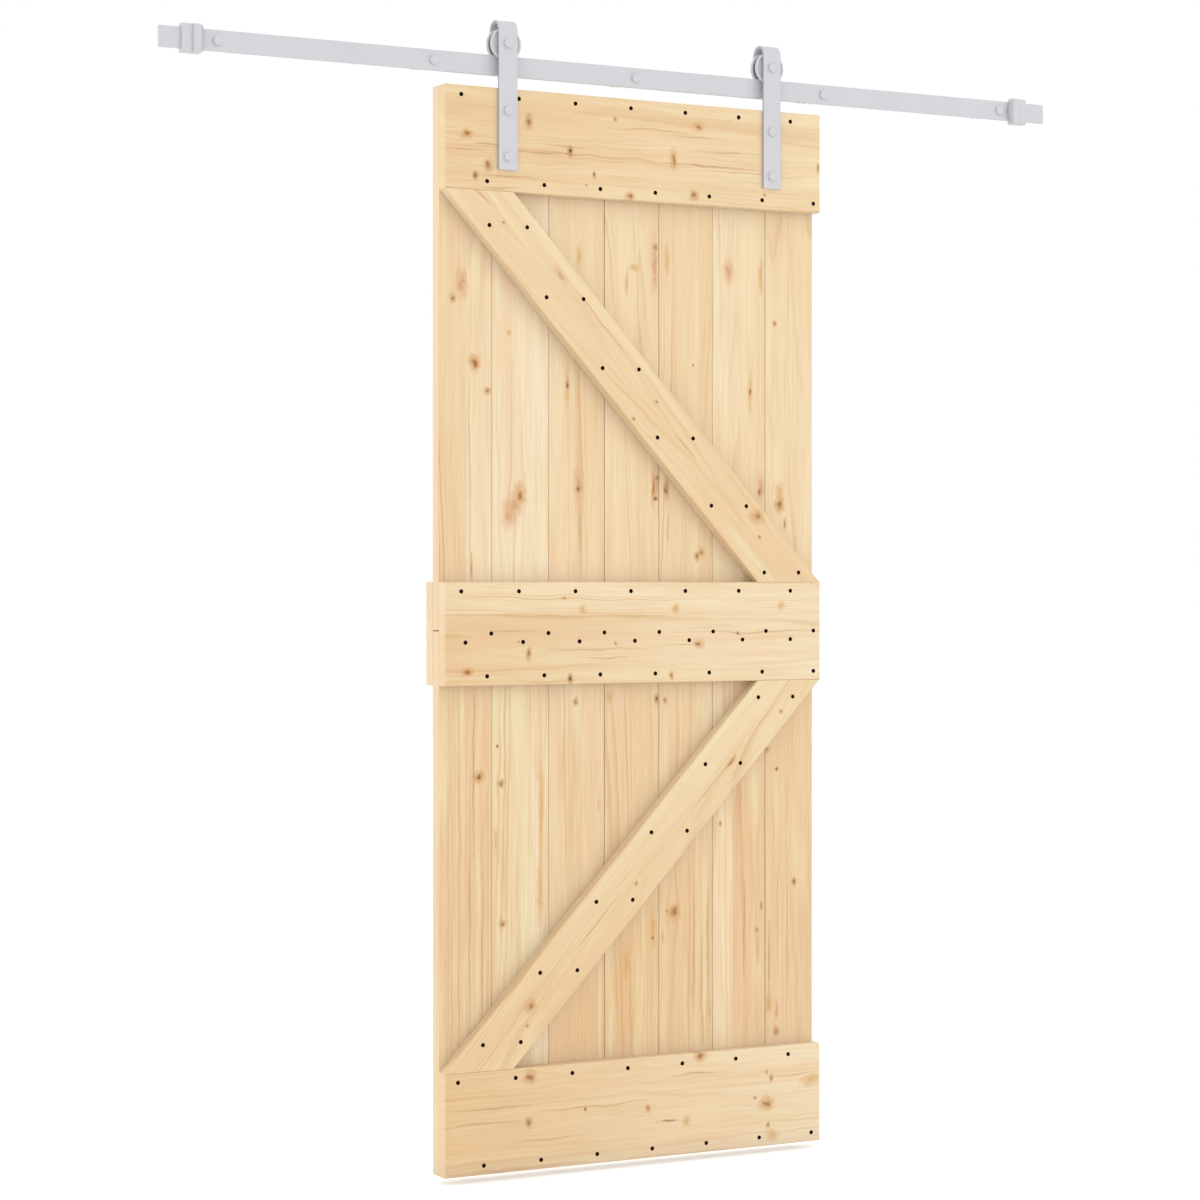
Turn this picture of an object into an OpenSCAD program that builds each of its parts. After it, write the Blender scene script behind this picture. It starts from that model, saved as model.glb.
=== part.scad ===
// Sliding plank door on a flat-bar track.
// The origin is on the wall plane at the middle track fixing: X runs along the track,
// Y goes into the wall and Z is up. Lengths are millimetres.

/* [Door] */
// Width of the door
door_w = 850; // [700:10:1200]
// Height of the door
door_h = 2100; // [1800:10:2400]
// Sideways offset of the door from the middle of the track at rest
door_shift = 0; // [-200:5:200]
// Gap between the track's lower edge and the door's top
top_gap = 25; // [15:1:60]

/* [Boards] */
// Number of boards across each half panel
board_count = 7; // [5:1:9]
// Face width of the two outer boards
end_board_w = 113.75; // [95:0.25:125]
// Thickness of the boards
board_t = 28; // [20:1:40]
// Open gap between the faces of two boards
board_gap = 0.5; // [0.4:0.1:2]
// Bevel along the long edges of a board
board_bevel = 1; // [0.5:0.1:3]
// Thickness of a tongue
tongue_t = 8; // [5:0.5:12]
// Reach of a tongue past its board's face
tongue_l = 7; // [4:0.5:10]
// Clearance around a tongue in its groove
tongue_clear = 0.25; // [0.1:0.05:0.6]
// Open gap where the upper and lower half panels butt
panel_gap = 2; // [0:0.5:4]

/* [Frame timbers] */
// Height of each horizontal rail
rail_h = 200; // [120:5:240]
// Thickness of rails and braces
rail_t = 28; // [20:1:40]
// Height of the middle rail's centre above the door's bottom
mid_rail_z = 1044; // [900:1:1200]
// Length of a brace's cut end along a rail
brace_cut = 148; // [110:1:180]
// Easing of the timbers' long edges
timber_ease = 1.5; // [0.5:0.1:3]

/* [Wood screws] */
// Shank diameter
screw_d = 4.5; // [3:0.5:6]
// Head diameter
screw_head_d = 8.6; // [7:0.1:11]
// Length over the head
screw_l = 50; // [40:1:54]
// Length of the point
screw_point = 6; // [3:0.5:9]
// Radial clearance of a screw in its hole
screw_clear = 0.1; // [0.05:0.05:0.3]
// Distance of a pair's right screw from its board's right seam
pair_inset = 24; // [15:1:40]
// Spread of a pair across its board
pair_span = 55.5; // [30:0.5:70]
// Least distance of a screw from the door's right edge
pair_edge = 15; // [12:1:30]
// Distance of a rail's outer rows from its edges
row_edge = 18; // [10:1:30]
// Half height between the inner rows of the middle rail
inner_row_half = 8.5; // [6:0.5:12]
// Drop of the inner rows below the middle rail's centre
inner_row_drop = 8; // [7:0.5:20]
// Sideways shift of the inner rows
inner_row_shift = 9; // [0:1:12]
// Sideways shift of the bottom rail's rows
bottom_row_shift = -7; // [-12:1:12]
// Spread of a pair across a brace
brace_span = 82; // [50:1:90]
// Shift of the upper brace's pairs from the board seams
upper_pair_shift = 22; // [10:1:28]
// Shift of the lower brace's pairs from the board seams
lower_pair_shift = 8; // [0:1:28]
// Distance of the back rail's rows from its edges
back_row_edge = 50; // [44:1:60]

/* [Track] */
// Length of the track
track_l = 2000; // [1600:10:2400]
// Height of the track bar
track_h = 40; // [40:1:50]
// Thickness of the track bar
track_t = 6; // [5:0.5:8]
// Easing of the track's edges
track_ease = 0.8; // [0.3:0.1:1.5]
// Number of fixings
fixing_count = 5; // [3:1:7]
// Distance of the outer fixings from the track's ends
fixing_end = 115; // [100:1:200]
// Length of the stand-off spacers
spacer_l = 71.5; // [70:0.5:110]
// Outer diameter of the spacers
spacer_d = 16; // [14:0.5:17]

/* [Hex bolts] */
// Shank diameter of bolts and lag screws
bolt_d = 10; // [8:1:10]
// Width across the flats of heads and nuts
hex_flats = 17; // [15:0.5:17]
// Height of a bolt head
head_h = 4.5; // [4:0.1:8]
// Height of a nut
nut_h = 8; // [6:0.5:10]
// Thread length past a nut
thread_past = 3; // [1:0.5:6]
// Diametral clearance of a bolt in its hole
hole_clear = 0.6; // [0.4:0.1:1]
// Length of the lag screws that goes into the wall
lag_grip = 30; // [20:1:80]
// Length of a lag screw's point
lag_point = 10; // [5:1:15]
// Diameter of a lag screw's tip
lag_tip_d = 1; // [0.5:0.1:3]
// Diameter of a lag screw's threaded end
lag_thread_d = 9; // [6:0.5:9.5]
// Outer diameter of the washers behind the boards
washer_d = 30; // [20:1:40]
// Thickness of those washers
washer_t = 2.5; // [1.5:0.5:4]

/* [Hangers] */
// Distance of the left hanger from the door's left edge
hanger_left = 133; // [60:1:200]
// Distance of the right hanger from the door's right edge
hanger_right = 117; // [60:1:200]
// Width of the strap
strap_w = 40; // [35:1:50]
// Thickness of the strap
strap_t = 5; // [4:0.5:8]
// Drop of the upper strap bolt below the door's top
bolt_drop = 43; // [30:1:60]
// Distance between the two strap bolts
bolt_pitch = 90; // [60:1:110]
// Strap length below the lower bolt
strap_tail = 25; // [18:1:40]
// Free height between the wheel and the strap's bend
bend_gap = 8; // [4:1:20]

/* [Wheels] */
// Outer diameter over the flanges
wheel_d = 66; // [60:0.5:66]
// Rolling diameter at the bottom of the groove
roll_d = 44; // [44:0.5:48]
// Width over the flanges
wheel_w = 26; // [20:0.5:26]
// Side clearance between groove and track
groove_clear = 1; // [0.5:0.1:1.5]
// Flare of each groove flank at the rim
groove_flare = 1; // [0.5:0.1:2]
// Running gap under the wheel
roll_gap = 0.3; // [0.2:0.05:0.5]
// Gap between the wheel and the strap on each side
side_gap = 2.5; // [1:0.5:4]
// Radial width of the raised ring on a wheel's faces
ring_w = 4.5; // [3:0.5:6]
// Depth of the dish between ring and hub
dish_t = 1.5; // [0.5:0.1:2]
// Wall of the hub around the bearing
hub_wall = 3; // [2:0.5:4]
// Outer diameter of the bearing
bearing_d = 26; // [22:1:30]
// Width of the bearing
bearing_w = 12; // [8:1:18]
// Outer diameter of the axle sleeve
sleeve_d = 14; // [13:0.5:16]
// Running gap between sleeve and bearing
bearing_gap = 0.3; // [0.2:0.05:0.5]

/* [End stops] */
// Distance of the left stop's outer face from the track's end
stop_left_end = 43; // [20:1:60]
// Distance of the right stop's outer face from the track's end
stop_right_end = 49; // [20:1:60]
// Height of a stop
stop_h = 54; // [50:1:64]
// Width of the clamp part
clamp_w = 22; // [16:1:30]
// Thickness of the clamp in front of the track
clamp_t = 5; // [4:0.5:12]
// Width of the buffer part
buffer_w = 14; // [10:1:20]
// Thickness of the buffer part in front of the track
buffer_t = 10; // [9:0.5:12]
// Thickness of the stop behind the track
stop_back_t = 5; // [4:0.5:8]
// Clearance between stop and track
stop_clear = 0.3; // [0.1:0.05:0.5]
// Easing of a stop's edges
stop_ease = 2; // [1:0.5:3]
// Width of the rubber pad on a stop, across the track
pad_w = 8.5; // [6:0.5:9]
// Distance of the pad's ends from the stop's upper and lower edges
pad_inset = 2; // [1:0.5:4]
// Thickness of the pad at its ends
pad_edge = 2; // [1:0.5:3]
// Rise of the pad's bowed face at mid height
pad_bow = 6.5; // [3:0.5:7]
// Diameter of the pad's stem
stem_d = 5; // [4:0.5:6]
// Length of the pad's stem
stem_l = 8; // [5:0.5:9]
// Clearance around the stem in its hole
stem_clear = 0.1; // [0.05:0.05:0.3]
// Diameter of the clamping screw
grub_d = 6; // [5:1:8]
// Diameter of the driver socket in the clamping screw
grub_socket = 3; // [2:0.5:4]

/* [Hidden] */
$fn = 48;
tiny = 0.01;
overcut = 1;
wood = "#e8cfa2";
coated_steel = "#d3d3da";
blackened_steel = "#241a12";
rubber = "#c9c9cf";
zinc = "#c4c4c8";

track_y = -spacer_l - track_t / 2;
strap_in = wheel_w / 2 + side_gap;
door_y = track_y - strap_in;
door_z = -track_h / 2 - top_gap - door_h;
door_x = door_shift - door_w / 2;
track_top = track_h / 2;
axle_z = track_top + roll_d / 2;
bend_z = axle_z + wheel_d / 2 + bend_gap - strap_in;
strap_top_bolt = door_z + door_h - bolt_drop;
strap_low_bolt = strap_top_bolt - bolt_pitch;
strap_end = strap_low_bolt - strap_tail;
strap_bolt_z = [strap_top_bolt, strap_low_bolt];
bolt_hole = bolt_d + hole_clear;
hex_corners = hex_flats / cos(30);
hex_turned = 0.95;
fixing_pitch = (track_l - 2 * fixing_end) / (fixing_count - 1);
back_y = rail_t + board_t;
stop_w = clamp_w + buffer_w;

board_face = (door_w - 2 * end_board_w) / (board_count - 2);
row_half = rail_h / 2 - row_edge;
back_row_half = rail_h / 2 - back_row_edge;
groove_l = tongue_l - board_gap + 2 * tongue_clear;
panel_z = door_h / 2;
top_rail_z = door_h - rail_h / 2;
bottom_rail_z = rail_h / 2;
upper_span = [mid_rail_z + rail_h / 2, door_h - rail_h];
lower_span = [rail_h, mid_rail_z - rail_h / 2];
brace_run = door_w - brace_cut;

SIDES = ["left", "right"];
SIDE_SIGNS = [-1, 1];

// How far the head of each strap bolt happens to be turned, upper and lower on each side
HEAD_TURNS = [[0, 30], [8, -6]];

// Left edge of a board, counted from the door's left edge
function seam(i) = i == 0 ? 0 : i == board_count ? door_w : end_board_w + (i - 1) * board_face;

// Place of the right screw of a board's pair
function pair_right(i, shift) =
    min(end_board_w + i * board_face - pair_inset + shift, door_w - pair_edge);

// One row of screws on the left or the right of every board
function left_row(z, shift) = [for (i = [0:board_count - 1]) [pair_right(i, shift) - pair_span, z]];
function right_row(z, shift) = [for (i = [0:board_count - 1]) [pair_right(i, shift), z]];

// Staggered rows of one rail, the left screws above and the right screws below
function rail_rows(z, shift) = concat(left_row(z + row_half, shift), right_row(z - row_half, shift));

// Height of a brace's centre line; side is 1 above the middle rail and -1 below it
function brace_line(x, side) =
    let (span = side > 0 ? upper_span : lower_span)
    let (share = (x - brace_cut / 2) / brace_run)
    side > 0 ? span[1] - share * (span[1] - span[0]) : span[0] + share * (span[1] - span[0]);

// A pair of screws near every seam that a brace crosses
function brace_pairs(side, shift) = [
    for (i = [1:board_count - 1], s = SIDE_SIGNS)
        [seam(i) + shift + s * brace_span / 2, brace_line(seam(i) + shift, side)]
];

inner_z = mid_rail_z - inner_row_drop;
top_screws = rail_rows(top_rail_z, 0);
mid_screws = concat(
    rail_rows(mid_rail_z, 0),
    right_row(inner_z + inner_row_half, inner_row_shift),
    left_row(inner_z - inner_row_half, inner_row_shift)
);
bottom_screws = rail_rows(bottom_rail_z, bottom_row_shift);
upper_screws = brace_pairs(1, upper_pair_shift);
lower_screws = brace_pairs(-1, lower_pair_shift);
front_screws = concat(top_screws, mid_screws, bottom_screws, upper_screws, lower_screws);
back_screws = [
    for (i = [0:board_count - 1], s = SIDE_SIGNS)
        [(seam(i) + seam(i + 1)) / 2, mid_rail_z + s * back_row_half]
];

// Screws that land on one board
function landing(points, i, z0, z1) = [
    for (p = points)
        if (p[0] > seam(i) && p[0] < seam(i + 1) && p[1] > z0 && p[1] < z1) p
];

function hanger_x(side) = door_x + (side == 0 ? hanger_left : door_w - hanger_right);
function fixing_x(i) = -track_l / 2 + fixing_end + i * fixing_pitch;

// Outer face of a stop, measured from the middle of the track
function stop_x(side) = track_l / 2 - (side == 0 ? stop_left_end : stop_right_end);

BOARD_NODES = [for (half = ["upper", "lower"], i = [1:board_count]) str(half, "_board_", i)];
SPACER_NODES = [for (i = [1:fixing_count]) str("spacer_", i)];

// Moves children from the door's own frame (left edge, front face, bottom) to the model's
module in_door() {
    translate([door_x, door_y, door_z]) children();
}

// Stands a shape whose axis is Z along +Y
module along_y() {
    rotate([-90, 0, 0]) children();
}

// Extrudes a section drawn in Y and Z along +X
module along_x(length) {
    rotate([90, 0, 90]) linear_extrude(length) children();
}

// Rectangle with eased corners
module eased_rect(w, h, ease) {
    polygon([
        [ease, 0], [w - ease, 0], [w, ease], [w, h - ease],
        [w - ease, h], [ease, h], [0, h - ease], [0, ease]
    ]);
}

// Hexagonal prism along Z with its corners on X and its far corners turned off
module hex_prism(h) {
    flat_r = hex_flats * hex_turned / 2;
    corner_r = hex_corners / 2;
    turned_h = (corner_r - flat_r) * tan(30);
    intersection() {
        cylinder(h = h, d = hex_corners, $fn = 6);
        rotate_extrude() polygon([
            [0, 0], [corner_r + overcut, 0], [corner_r + overcut, h - turned_h - overcut * tan(30)],
            [flat_r, h], [0, h]
        ]);
    }
}

// Hex bolt along Z: the head's bearing face is at zero and the shank goes up
module hex_bolt(length) {
    rotate([180, 0, 0]) hex_prism(head_h);
    cylinder(h = length, d = bolt_d);
}

// Hex nut along Z
module hex_nut() {
    difference() {
        hex_prism(nut_h);
        translate([0, 0, -tiny]) cylinder(h = nut_h + 2 * tiny, d = bolt_d);
    }
}

// Countersunk wood screw along Z with the top of its head at zero
module wood_screw() {
    cone = (screw_head_d - screw_d) / 2;
    rotate_extrude() polygon([
        [0, 0], [screw_head_d / 2, 0], [screw_d / 2, cone],
        [screw_d / 2, screw_l - screw_point], [0, screw_l]
    ]);
}

// Hole for that screw
module screw_hole() {
    head = screw_head_d + 2 * screw_clear;
    shank = screw_d + 2 * screw_clear;
    translate([0, 0, -tiny]) cylinder(h = screw_l + overcut, d = shank);
    translate([0, 0, -tiny]) cylinder(h = (head - shank) / 2, d1 = head, d2 = shank);
}

// Children at each point of the door's front, pointing back
module at_front(points) {
    for (p = points) translate([p[0], 0, p[1]]) along_y() children();
}

// Children at each point of the back rail's outer face, pointing to the front
module at_back(points) {
    for (p = points) translate([p[0], back_y + rail_t, p[1]]) rotate([90, 0, 0]) children();
}

// Holes for the strap bolts through the door, in the model's frame
module strap_bolt_holes(side) {
    for (z = strap_bolt_z)
        translate([hanger_x(side), door_y - strap_t - tiny, z])
            along_y() cylinder(h = strap_t + back_y + 2 * tiny, d = bolt_hole);
}

// Flat steel bar that the wheels run on
module track_bar() {
    color(coated_steel) difference() {
        translate([-track_l / 2, track_y - track_t / 2, -track_h / 2])
            along_x(track_l) eased_rect(track_t, track_h, track_ease);
        for (i = [0:fixing_count - 1])
            translate([fixing_x(i), track_y - track_t, 0])
                along_y() cylinder(h = 2 * track_t, d = bolt_hole);
    }
}

// Tube that holds the track off the wall
module spacer(i) {
    color(coated_steel) translate([fixing_x(i), -spacer_l, 0]) along_y() difference() {
        cylinder(h = spacer_l, d = spacer_d);
        translate([0, 0, -tiny]) cylinder(h = spacer_l + 2 * tiny, d = bolt_hole);
    }
}

// Hex lag screws through the track and the spacers, with their free ends behind the wall plane
module lag_screws() {
    shank = track_t + spacer_l;
    thread = lag_grip - lag_point;
    color(coated_steel) for (i = [0:fixing_count - 1])
        translate([fixing_x(i), track_y - track_t / 2, 0]) along_y() {
            hex_bolt(shank);
            translate([0, 0, shank]) cylinder(h = thread, d = lag_thread_d);
            translate([0, 0, shank + thread]) cylinder(h = lag_point, d1 = lag_thread_d, d2 = lag_tip_d);
        }
}

// Section of a stop across the track
module stop_section(front_t) {
    depth = front_t + track_t + stop_back_t;
    translate([track_y - track_t / 2 - front_t, -stop_h / 2]) difference() {
        eased_rect(depth, stop_h, stop_ease);
        translate([front_t - stop_clear, (stop_h - track_h) / 2 - stop_clear])
            square([track_t + 2 * stop_clear, track_h + 2 * stop_clear]);
    }
}

// Places children for a stop: X zero is its outer face and X grows towards the door
module at_stop(side) {
    translate([SIDE_SIGNS[side] * stop_x(side), 0, 0]) mirror([side, 0, 0]) children();
}

// Moves children to the middle of a stop's inner face with Z towards the door and X down
module at_buffer() {
    translate([stop_w, track_y - track_t / 2 - buffer_t / 2, 0]) rotate([0, 90, 0]) children();
}

// Screw hole through the back of a stop
module grub_axis() {
    translate([clamp_w / 2, track_y + track_t / 2, 0]) along_y() children();
}

// Clamp that slides on the track, with a thicker buffer part towards the door
module stop_clamp(side) {
    color(coated_steel) at_stop(side) difference() {
        union() {
            along_x(clamp_w) stop_section(clamp_t);
            translate([clamp_w, 0, 0]) along_x(buffer_w) stop_section(buffer_t);
        }
        at_buffer() translate([0, 0, -stem_l - stem_clear])
            cylinder(h = stem_l + overcut, d = stem_d + 2 * stem_clear);
        grub_axis() cylinder(h = stop_back_t + overcut, d = grub_d);
    }
}

// Rubber pad with a bowed face that the wheel meets, pushed into the stop by its stem
module stop_pad(side) {
    half = stop_h / 2 - pad_inset;
    out = pad_edge + pad_bow;
    bow_r = (pow(half, 2) + pow(pad_bow, 2)) / (2 * pad_bow);
    color(rubber) at_stop(side) at_buffer() {
        translate([0, 0, -stem_l]) cylinder(h = stem_l + pad_edge, d = stem_d);
        rotate([90, 0, 0]) linear_extrude(pad_w, center = true) intersection() {
            translate([-half, 0]) square([2 * half, out]);
            translate([0, out - bow_r]) circle(r = bow_r);
        }
    }
}

// Socket grub screws that clamp the stops from behind
module stop_screws() {
    color(zinc) for (side = [0, 1]) at_stop(side) grub_axis() difference() {
        cylinder(h = stop_back_t, d = grub_d);
        translate([0, 0, stop_back_t / 2]) cylinder(h = stop_back_t, d = grub_socket, $fn = 6);
    }
}

// Section of a board seen from above, with y zero at its front face
module board_section(i) {
    first = i == 0;
    last = i == board_count - 1;
    x0 = seam(i) + (first ? 0 : board_gap / 2);
    x1 = seam(i + 1) - (last ? 0 : board_gap / 2);
    t0 = (board_t - tongue_t) / 2;
    t1 = (board_t + tongue_t) / 2;
    b = board_bevel;
    tongue = [[x1, t0], [x1 + tongue_l, t0], [x1 + tongue_l, t1], [x1, t1]];
    g0 = t0 - tongue_clear;
    g1 = t1 + tongue_clear;
    groove = [[x0, g1], [x0 + groove_l, g1], [x0 + groove_l, g0], [x0, g0]];
    polygon(concat(
        [[x0, b], [x0 + b, 0], [x1 - b, 0], [x1, b]],
        last ? [] : tongue,
        [[x1, board_t - b], [x1 - b, board_t], [x0 + b, board_t], [x0, board_t - b]],
        first ? [] : groove
    ));
}

// One tongued and grooved board of the upper (half 0) or lower (half 1) panel
module board(half, i) {
    z0 = half == 0 ? panel_z + panel_gap / 2 : 0;
    z1 = half == 0 ? door_h : panel_z - panel_gap / 2;
    color(wood) difference() {
        in_door() difference() {
            translate([0, rail_t, z0]) linear_extrude(z1 - z0) board_section(i);
            at_front(landing(front_screws, i, z0, z1)) screw_hole();
            at_back(landing(back_screws, i, z0, z1)) screw_hole();
        }
        if (half == 0) for (side = [0, 1])
            if (abs(hanger_x(side) - door_x - (seam(i) + seam(i + 1)) / 2) < board_face)
                strap_bolt_holes(side);
    }
}

// Horizontal timber across the door, centred at a height
module cross_timber(z, y) {
    translate([0, y, z - rail_h / 2]) along_x(door_w) eased_rect(rail_t, rail_h, timber_ease);
}

// Rail across the top of the boards, drilled for the straps
module top_rail() {
    color(wood) difference() {
        in_door() difference() {
            cross_timber(top_rail_z, 0);
            at_front(top_screws) screw_hole();
        }
        for (side = [0, 1]) strap_bolt_holes(side);
    }
}

// Rail over the joint of the two half panels
module middle_rail() {
    color(wood) in_door() difference() {
        cross_timber(mid_rail_z, 0);
        at_front(mid_screws) screw_hole();
    }
}

// Rail across the bottom of the boards
module bottom_rail() {
    color(wood) in_door() difference() {
        cross_timber(bottom_rail_z, 0);
        at_front(bottom_screws) screw_hole();
    }
}

// Rail behind the joint of the two half panels
module back_rail() {
    color(wood) in_door() difference() {
        cross_timber(mid_rail_z, back_y);
        at_back(back_screws) screw_hole();
    }
}

// Plank laid across one field and cut level against its two rails
module brace(side, points) {
    span = side > 0 ? upper_span : lower_span;
    rise = span[1] - span[0];
    angle = atan2(rise, brace_run);
    width = brace_cut * sin(angle);
    reach = norm([rise, door_w]) + brace_cut;
    color(wood) in_door() difference() {
        intersection() {
            translate([door_w / 2, 0, (span[0] + span[1]) / 2])
                rotate([0, side * angle, 0])
                    translate([-reach / 2, 0, -width / 2])
                        along_x(reach) eased_rect(rail_t, width, timber_ease);
            translate([0, -overcut, span[0]]) cube([door_w, rail_t + 2 * overcut, rise]);
        }
        at_front(points) screw_hole();
    }
}

// Black countersunk screws driven from the front
module front_screw_group(points) {
    color(blackened_steel) in_door() at_front(points) wood_screw();
}

// Black countersunk screws driven from the back
module back_screw_group(points) {
    color(blackened_steel) in_door() at_back(points) wood_screw();
}

// Outline of a hanger strap in Y and Z: a long leg, a half-round bend and a short leg
module strap_section() {
    outer = strap_in + strap_t;
    translate([track_y - outer, strap_end]) square([strap_t, bend_z - strap_end]);
    translate([track_y + strap_in, axle_z - strap_w / 2]) square([strap_t, bend_z - axle_z + strap_w / 2]);
    translate([track_y, bend_z]) intersection() {
        difference() {
            circle(r = outer);
            circle(r = strap_in);
        }
        translate([-outer - overcut, 0]) square([2 * (outer + overcut), outer + overcut]);
    }
}

// Flat bar bent over the wheel, bolted to the front of the door
module hanger_strap(side) {
    x = hanger_x(side);
    color(coated_steel) difference() {
        translate([x - strap_w / 2, 0, 0]) along_x(strap_w) strap_section();
        strap_bolt_holes(side);
        translate([x, track_y - strap_in - strap_t - tiny, axle_z])
            along_y() cylinder(h = 2 * (strap_in + strap_t + tiny), d = bolt_hole);
        translate([x, track_y + strap_in - tiny, axle_z]) along_y() difference() {
            translate([-strap_w, 0, 0]) cube([2 * strap_w, strap_w, strap_t + 2 * tiny]);
            translate([0, 0, -tiny]) cylinder(h = strap_t + 4 * tiny, d = strap_w);
        }
    }
}

// Two hex bolts that hold a strap to the door
module strap_bolts(side) {
    length = strap_t + back_y + washer_t + nut_h + thread_past;
    color(coated_steel) for (row = [0, 1])
        translate([hanger_x(side), door_y - strap_t, strap_bolt_z[row]])
            along_y() rotate([0, 0, HEAD_TURNS[side][row]]) hex_bolt(length);
}

// Large washers behind the boards
module strap_washers(side) {
    color(zinc) for (z = strap_bolt_z)
        translate([hanger_x(side), door_y + back_y, z]) along_y() difference() {
            cylinder(h = washer_t, d = washer_d);
            translate([0, 0, -tiny]) cylinder(h = washer_t + 2 * tiny, d = bolt_hole);
        }
}

// Nuts behind the washers
module strap_nuts(side) {
    color(zinc) for (z = strap_bolt_z)
        translate([hanger_x(side), door_y + back_y + washer_t, z]) along_y() hex_nut();
}

// Moves children to a wheel's centre with Z along +Y
module at_wheel(side) {
    translate([hanger_x(side), track_y, axle_z]) along_y() children();
}

// Hex bolt through both legs of the strap
module axle_bolt(side) {
    length = 2 * (strap_in + strap_t) + nut_h + thread_past;
    color(coated_steel) at_wheel(side)
        translate([0, 0, -strap_in - strap_t]) hex_bolt(length);
}

// Sleeve between the legs that the bearing turns on
module axle_sleeve(side) {
    color(zinc) at_wheel(side) translate([0, 0, -strap_in]) difference() {
        cylinder(h = 2 * strap_in, d = sleeve_d);
        translate([0, 0, -tiny]) cylinder(h = 2 * strap_in + 2 * tiny, d = bolt_hole);
    }
}

// Nut behind the short leg
module axle_nut(side) {
    color(zinc) at_wheel(side) translate([0, 0, strap_in + strap_t]) hex_nut();
}

// Grooved wheel with a flange on each side of the track and dished faces
module wheel(side) {
    rim = wheel_d / 2;
    floor_r = roll_d / 2 - roll_gap;
    half = wheel_w / 2;
    groove = track_t / 2 + groove_clear;
    mouth = groove + groove_flare;
    round = (half - mouth) / 3;
    bore = bearing_d / 2;
    hub = bore + hub_wall;
    ring = rim - ring_w;
    web = half - dish_t;
    color(coated_steel) at_wheel(side) rotate_extrude() polygon([
        [bore, -half], [hub, -half], [hub + dish_t, -web], [ring - dish_t, -web], [ring, -half],
        [rim - round, -half], [rim, -half + round], [rim, -mouth - round],
        [rim - round, -mouth], [floor_r, -groove], [floor_r, groove], [rim - round, mouth],
        [rim, mouth + round], [rim, half - round], [rim - round, half],
        [ring, half], [ring - dish_t, web], [hub + dish_t, web], [hub, half], [bore, half]
    ]);
}

// Sealed bearing pressed into the wheel
module wheel_bearing(side) {
    bore = sleeve_d + 2 * bearing_gap;
    color(zinc) at_wheel(side) translate([0, 0, -bearing_w / 2]) difference() {
        cylinder(h = bearing_w, d = bearing_d);
        translate([0, 0, -tiny]) cylinder(h = bearing_w + 2 * tiny, d = bore);
    }
}

track_bar();
for (i = [0:fixing_count - 1])
    spacer(i);
lag_screws();
for (s = [0, 1]) {
    stop_clamp(s);
    stop_pad(s);
}
stop_screws();
for (i = [0:board_count - 1]) {
    board(0, i);
    board(1, i);
}
top_rail();
middle_rail();
bottom_rail();
back_rail();
brace(1, upper_screws);  // upper_brace
brace(-1, lower_screws);  // lower_brace
front_screw_group(top_screws);  // top_rail_screws
front_screw_group(mid_screws);  // middle_rail_screws
front_screw_group(bottom_screws);  // bottom_rail_screws
back_screw_group(back_screws);  // back_rail_screws
front_screw_group(upper_screws);  // upper_brace_screws
front_screw_group(lower_screws);  // lower_brace_screws
for (s = [0, 1]) {
    hanger_strap(s);
    strap_bolts(s);
    strap_washers(s);
    strap_nuts(s);
    axle_bolt(s);
    axle_sleeve(s);
    axle_nut(s);
    wheel(s);
    wheel_bearing(s);
}
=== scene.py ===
"""Dresses a sliding plank door and its track: sanded pine, powder-coated steel and black screws."""

import math
import random

import bmesh
import bpy
from mathutils import Matrix, Vector


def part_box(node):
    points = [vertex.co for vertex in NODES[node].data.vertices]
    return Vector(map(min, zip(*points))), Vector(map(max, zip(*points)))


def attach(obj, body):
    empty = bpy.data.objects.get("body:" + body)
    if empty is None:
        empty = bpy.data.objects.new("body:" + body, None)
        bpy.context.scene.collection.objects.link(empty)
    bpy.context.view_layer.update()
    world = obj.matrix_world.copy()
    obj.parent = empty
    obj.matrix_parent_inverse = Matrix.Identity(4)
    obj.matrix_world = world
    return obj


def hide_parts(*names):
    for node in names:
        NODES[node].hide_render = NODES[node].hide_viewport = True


bl_info = {
    "name": "Sliding plank door",
    "version": (1, 0, 0),
    "blender": (4, 5, 0),
    "location": "View3D > Sidebar > Plank door",
    "description": "Finishes for a plank door that slides on a flat-bar track",
    "category": "Object",
}

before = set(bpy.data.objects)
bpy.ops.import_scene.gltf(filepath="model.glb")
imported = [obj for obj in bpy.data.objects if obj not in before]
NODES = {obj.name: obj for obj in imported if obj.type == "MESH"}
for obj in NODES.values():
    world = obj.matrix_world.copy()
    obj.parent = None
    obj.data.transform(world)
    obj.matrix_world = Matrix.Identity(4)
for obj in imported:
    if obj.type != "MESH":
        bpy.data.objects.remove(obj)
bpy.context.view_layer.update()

MM = 0.001
SIDES = ("left", "right")
BOARD_COUNT = sum(name.startswith("upper_board_") for name in NODES)

# The door's own corner: left edge, front face and bottom
DOOR_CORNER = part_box("bottom_rail")[0]


def linear(hex_colour):
    """An sRGB hex colour as linear red, green, blue and alpha."""
    channels = [int(hex_colour[i:i + 2], 16) / 255 for i in (0, 2, 4)]
    return tuple(c / 12.92 if c <= 0.04045 else ((c + 0.055) / 1.055) ** 2.4 for c in channels) + (1.0,)


def colour(name, description, hex_colour):
    """A colour setting whose default is an sRGB hex value."""
    return bpy.props.FloatVectorProperty(
        name=name, description=description, default=linear(hex_colour),
        subtype="COLOR", size=4, min=0.0, max=1.0,
    )


def length(name, description, millimetres):
    """A length setting whose default is given in millimetres."""
    return bpy.props.FloatProperty(
        name=name, description=description, default=millimetres * MM,
        unit="LENGTH", precision=4,
    )


def angle(name, description, degrees):
    """An angle setting whose default is given in degrees."""
    return bpy.props.FloatProperty(
        name=name, description=description, default=math.radians(degrees), subtype="ANGLE",
    )


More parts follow.
